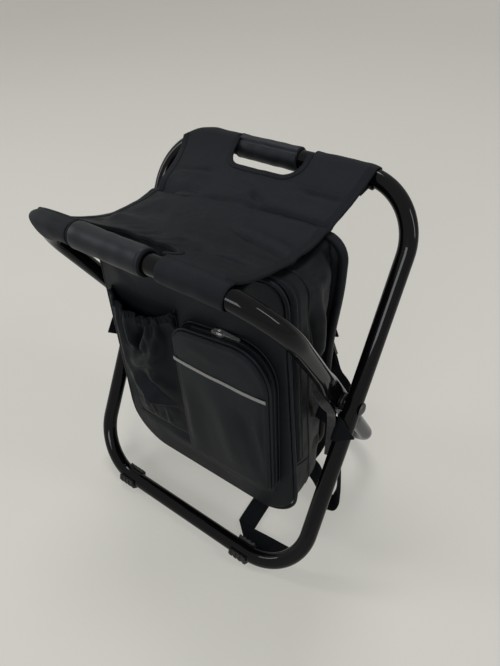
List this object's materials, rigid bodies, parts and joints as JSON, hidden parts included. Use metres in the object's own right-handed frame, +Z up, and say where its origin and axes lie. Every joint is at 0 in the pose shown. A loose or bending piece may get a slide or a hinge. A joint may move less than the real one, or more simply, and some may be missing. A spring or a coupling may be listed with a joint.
{
  "type": "folding cooler stool",
  "caption": "Folding stool of crossed tube loops with a slung cloth seat, foam grips and a soft cooler bag with a zip-down front, front pockets and shoulder straps.",
  "frame": {"origin": "on the floor, midway between the feet and midway between the legs", "axes": "+Z up, +X along the bars to the right as seen from the front, -Y towards the front where the pockets are"},
  "size_m": [0.351, 0.2664, 0.4212],
  "materials": {
    "tube": "gloss black powder coat on bent steel tube",
    "steel": "bright rivets, zip sliders and pull tabs",
    "nylon": "black nylon spacers, zip coil and buckles",
    "rubber": "matt black ribbed feet",
    "foam": "dark grey closed-cell foam with a slight sheen",
    "seat": "black woven polyester, matt",
    "bag": "black coated woven polyester with a soft sheen",
    "webbing": "black ribbed webbing",
    "insulation": "white closed-cell foam sheet",
    "foil": "silvered film lining",
    "stripe": "light grey reflective tape"
  },
  "bodies": {
    "outer_frame": {"outer_frame": "tube", "rear_grip": "foam", "seat_hem_rear_left": "seat", "seat_hem_rear_right": "seat", "seat_panel": "seat", "front_foot_left": "rubber", "front_foot_right": "rubber", "pivot_rivet_left": "steel", "pivot_rivet_right": "steel", "pivot_spacer_left": "nylon", "pivot_spacer_right": "nylon", "leg_tie_left": "webbing", "leg_tie_right": "webbing"},
    "inner_frame": {"inner_frame": "tube", "front_grip": "foam", "seat_hem_front_left": "seat", "seat_hem_front_right": "seat", "rear_foot_left": "rubber", "rear_foot_right": "rubber"},
    "bag": {"bag_zip_gusset": "bag", "bag_lower_gusset": "bag", "bag_rear_gusset": "bag", "bag_back_panel": "bag", "bag_insulation": "insulation", "bag_liner": "foil", "front_lower_panel": "bag", "lower_piping": "bag", "main_zip": "nylon", "shoulder_pad_left": "bag", "shoulder_pad_right": "bag", "strap_buckle_left": "nylon", "strap_buckle_right": "nylon", "strap_web_left": "webbing", "strap_web_right": "webbing", "strap_tail": "webbing"},
    "flap": {"front_flap": "bag", "front_lining": "foil", "flap_piping": "bag", "zip_pocket": "bag", "zip_pocket_piping": "bag", "reflective_stripe": "stripe", "pocket_zip": "nylon", "elastic_pocket": "bag", "elastic_band": "bag"},
    "pocket_slider": {"pocket_slider": "steel"},
    "pocket_pull": {"pocket_pull": "steel"},
    "main_slider_left": {"main_slider_left": "steel"},
    "main_pull_left": {"main_pull_left": "steel"},
    "main_slider_right": {"main_slider_right": "steel"},
    "main_pull_right": {"main_pull_right": "steel"}
  },
  "joints": [
    {"name": "fold", "type": "hinge", "parent": "outer_frame", "child": "inner_frame", "pos_m": [0, 0, 0.20975], "axis": [-1, 0, 0], "range_deg": [0, 52], "deforming": ["seat_panel", "leg_tie_left", "leg_tie_right", "strap_web_left", "strap_web_right", "strap_tail"]},
    {"name": "bag_swing", "type": "hinge", "parent": "outer_frame", "child": "bag", "pos_m": [0, 0, 0.20975], "axis": [-1, 0, 0], "range_deg": [0, 26]},
    {"name": "flap_open", "type": "hinge", "parent": "bag", "child": "flap", "pos_m": [0, -0.066, 0.092], "axis": [1, 0, 0], "range_deg": [0, 80]},
    {"name": "pocket_zip_run", "type": "slide", "parent": "flap", "child": "pocket_slider", "axis": [1, 0, 0], "range_m": [-0.018, 0.018]},
    {"name": "pocket_pull_turn", "type": "hinge", "parent": "pocket_slider", "child": "pocket_pull", "pos_m": [0.0457, -0.072, 0.3124], "axis": [0, -1, 0], "range_deg": [0, 150]},
    {"name": "main_zip_run_left", "type": "slide", "parent": "bag", "child": "main_slider_left", "axis": [-1, 0, 0], "range_m": [0, 0.045]},
    {"name": "main_pull_turn_left", "type": "hinge", "parent": "main_slider_left", "child": "main_pull_left", "pos_m": [-0.0127, -0.0507, 0.383], "axis": [0, 1, 0], "range_deg": [0, 5]},
    {"name": "main_zip_run_right", "type": "slide", "parent": "bag", "child": "main_slider_right", "axis": [1, 0, 0], "range_m": [0, 0.055]},
    {"name": "main_pull_turn_right", "type": "hinge", "parent": "main_slider_right", "child": "main_pull_right", "pos_m": [0.0127, -0.0507, 0.383], "axis": [0, -1, 0], "range_deg": [0, 5]}
  ],
  "couplings": [
    {"joint": "bag_swing", "follows": "fold", "ratio": 0.5}
  ]
}
